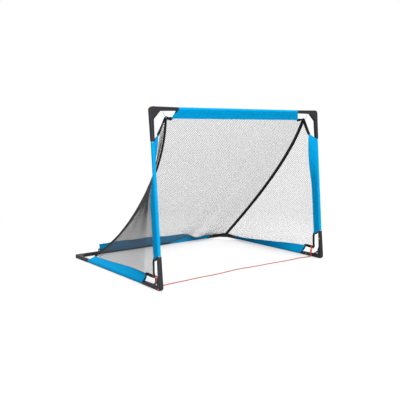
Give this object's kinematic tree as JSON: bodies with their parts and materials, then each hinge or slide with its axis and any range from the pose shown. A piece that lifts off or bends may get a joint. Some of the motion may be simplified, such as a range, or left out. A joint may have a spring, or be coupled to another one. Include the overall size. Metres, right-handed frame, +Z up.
{
  "type": "folding soccer goal",
  "caption": "Small folding soccer goal: a leaning tube front frame hinged to a U-shaped base frame, fabric sleeves on the tubes, and a fine net hung between them.",
  "frame": {"origin": "middle of the base frame, on the floor", "axes": "+Z up, the mouth faces -Y, +X runs along the crossbar"},
  "size_m": [1.203, 0.9453, 0.8955],
  "materials": {
    "tube_steel": "galvanised, satin",
    "moulding": "moulded glass-filled nylon, fine texture",
    "zinc_steel": "bright zinc plate",
    "coral_plastic": "semi-gloss moulded",
    "sleeve_fabric": "woven polyester, slight sheen",
    "net_twine": "knotted polyester twine",
    "black_tape": "woven binding tape",
    "grey_elastic": "braided elastic cord",
    "orange_cord": "braided polyester cord"
  },
  "bodies": {
    "base": {"left_base_tube": "tube_steel", "right_base_tube": "tube_steel", "rear_tube": "tube_steel", "rear_left_elbow": "moulding", "rear_right_elbow": "moulding", "left_hinge_base_half": "moulding", "right_hinge_base_half": "moulding", "left_hinge_pin": "zinc_steel", "right_hinge_pin": "zinc_steel", "left_button_spring": "zinc_steel", "right_button_spring": "zinc_steel", "left_base_front_rivet": "zinc_steel", "right_base_front_rivet": "zinc_steel", "rear_left_side_rivet": "zinc_steel", "rear_right_side_rivet": "zinc_steel", "rear_left_bar_rivet": "zinc_steel", "rear_right_bar_rivet": "zinc_steel", "left_base_sleeve": "sleeve_fabric", "right_base_sleeve": "sleeve_fabric", "rear_sleeve": "sleeve_fabric", "back_net": "net_twine", "left_side_net": "net_twine", "right_side_net": "net_twine", "left_seam_tape": "black_tape", "right_seam_tape": "black_tape", "lower_left_corner_tape": "black_tape", "lower_right_corner_tape": "black_tape", "rear_left_corner_tape": "black_tape", "rear_right_corner_tape": "black_tape", "ground_cord": "orange_cord", "left_cord_knot": "orange_cord", "right_cord_knot": "orange_cord"},
    "front": {"crossbar_tube": "tube_steel", "left_post_tube": "tube_steel", "right_post_tube": "tube_steel", "top_left_elbow": "moulding", "top_right_elbow": "moulding", "left_hinge_post_half": "moulding", "right_hinge_post_half": "moulding", "left_post_foot_rivet": "zinc_steel", "right_post_foot_rivet": "zinc_steel", "top_left_bar_rivet": "zinc_steel", "top_right_bar_rivet": "zinc_steel", "top_left_post_rivet": "zinc_steel", "top_right_post_rivet": "zinc_steel", "top_left_cap": "coral_plastic", "top_right_cap": "coral_plastic", "crossbar_sleeve": "sleeve_fabric", "left_post_sleeve": "sleeve_fabric", "right_post_sleeve": "sleeve_fabric", "top_left_corner_tape": "black_tape", "top_right_corner_tape": "black_tape", "top_left_elastic": "grey_elastic", "top_right_elastic": "grey_elastic"},
    "left_button": {"left_release_button": "coral_plastic"},
    "right_button": {"right_release_button": "coral_plastic"}
  },
  "joints": [
    {"name": "front_fold", "type": "hinge", "parent": "base", "child": "front", "pos_m": [0, -0.4407, 0.0305], "axis": [-1, 0, 0], "range_deg": [0, 85.1], "deforming": ["back_net", "left_side_net", "right_side_net", "left_seam_tape", "right_seam_tape", "lower_left_corner_tape", "lower_right_corner_tape", "rear_left_corner_tape", "rear_right_corner_tape", "left_base_sleeve", "right_base_sleeve", "rear_sleeve", "crossbar_sleeve", "left_post_sleeve", "right_post_sleeve", "top_left_corner_tape", "top_right_corner_tape", "top_left_elastic", "top_right_elastic"]},
    {"name": "left_release_press", "type": "slide", "parent": "base", "child": "left_button", "axis": [1, 0, 0], "range_m": [0, 0.003], "stiffness_N_per_m": 600, "springref_m": -0.003, "deforming": ["left_button_spring"]},
    {"name": "right_release_press", "type": "slide", "parent": "base", "child": "right_button", "axis": [-1, 0, 0], "range_m": [0, 0.003], "stiffness_N_per_m": 600, "springref_m": -0.003, "deforming": ["right_button_spring"]}
  ]
}
